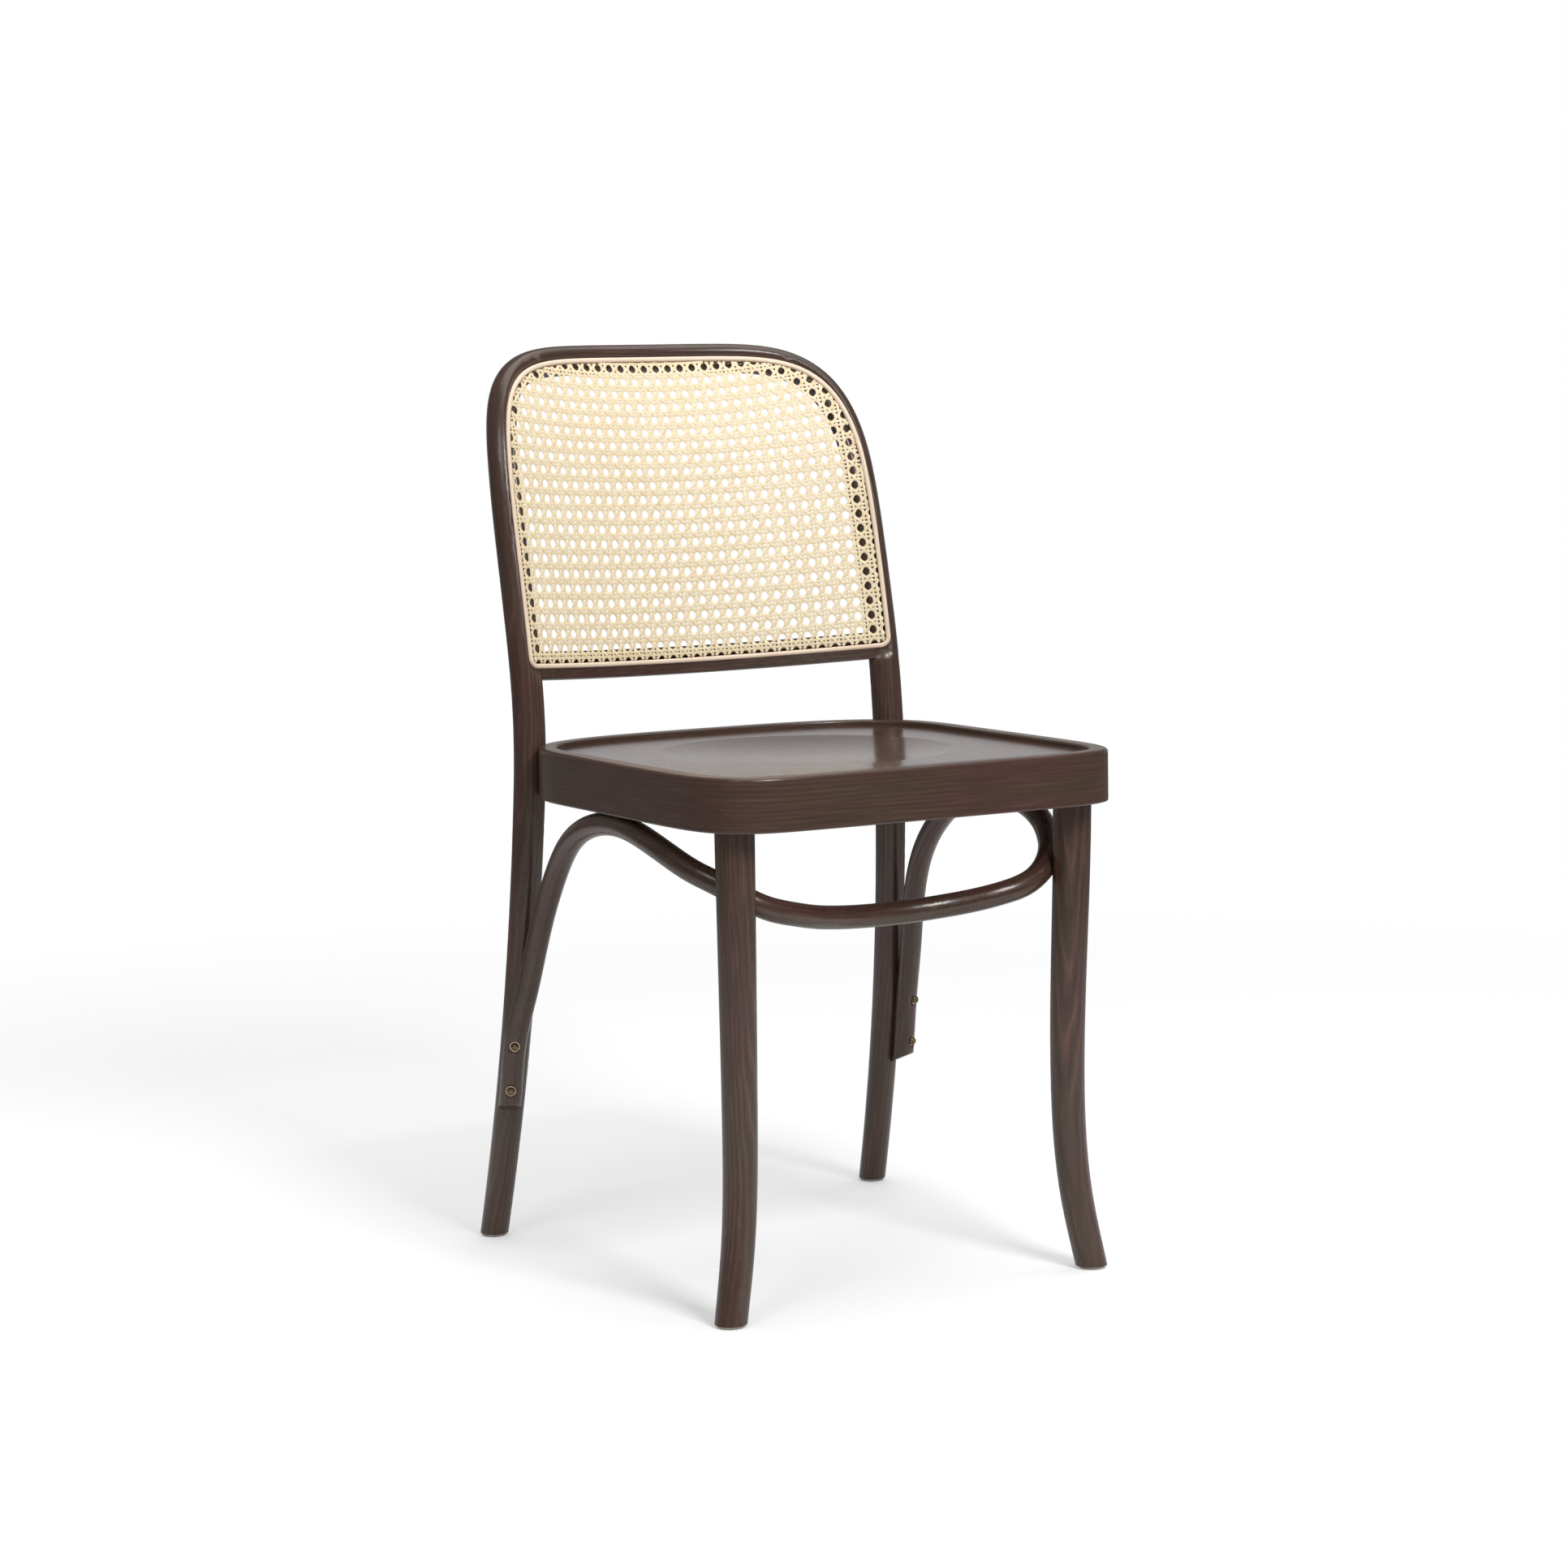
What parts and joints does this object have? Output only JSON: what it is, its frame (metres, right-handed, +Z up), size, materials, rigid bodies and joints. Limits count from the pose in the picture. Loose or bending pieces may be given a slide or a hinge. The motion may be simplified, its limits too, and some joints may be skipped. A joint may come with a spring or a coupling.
{
  "type": "cane back dining chair",
  "caption": "Bentwood dining chair with a curved cane back in a round hoop, a dished wooden seat in a rounded rim, and one bent brace under the seat.",
  "frame": {"origin": "on the floor under the middle of the chair's bounding box", "axes": "+Z up, front of the chair towards -Y, +X to the right of a viewer in front"},
  "size_m": [0.444, 0.5291, 0.8239],
  "materials": {
    "stained_wood": "dark walnut stain under semi-gloss lacquer",
    "raw_beech": "bare beech",
    "cane": "natural rattan cane, open octagonal weave",
    "spline_reed": "pale rattan spline",
    "aged_brass": "aged brass",
    "zinc_steel": "zinc plated",
    "glide_nylon": "pale nylon"
  },
  "bodies": {
    "root": {"back_hoop": "stained_wood", "back_rail": "stained_wood", "rail_dowels": "raw_beech", "cane_mesh": "cane", "cane_spline": "spline_reed", "seat_rim": "stained_wood", "seat_panel": "stained_wood", "corner_block_front_left": "raw_beech", "corner_block_front_right": "raw_beech", "corner_block_rear_left": "raw_beech", "corner_block_rear_right": "raw_beech", "front_leg_left": "stained_wood", "front_leg_right": "stained_wood", "tenon_wedges": "raw_beech", "leg_brace": "stained_wood", "corner_block_screws": "zinc_steel", "seat_panel_screws": "zinc_steel", "rear_leg_bolts": "zinc_steel", "bolt_washers": "zinc_steel", "threaded_inserts": "zinc_steel", "brace_leg_screws": "aged_brass", "brace_cup_washers": "aged_brass", "brace_rim_screws": "aged_brass", "brace_front_screws": "aged_brass", "glide_rear_left": "glide_nylon", "glide_front_left": "glide_nylon", "glide_rear_right": "glide_nylon", "glide_front_right": "glide_nylon", "glide_nails": "zinc_steel"}
  },
  "joints": []
}
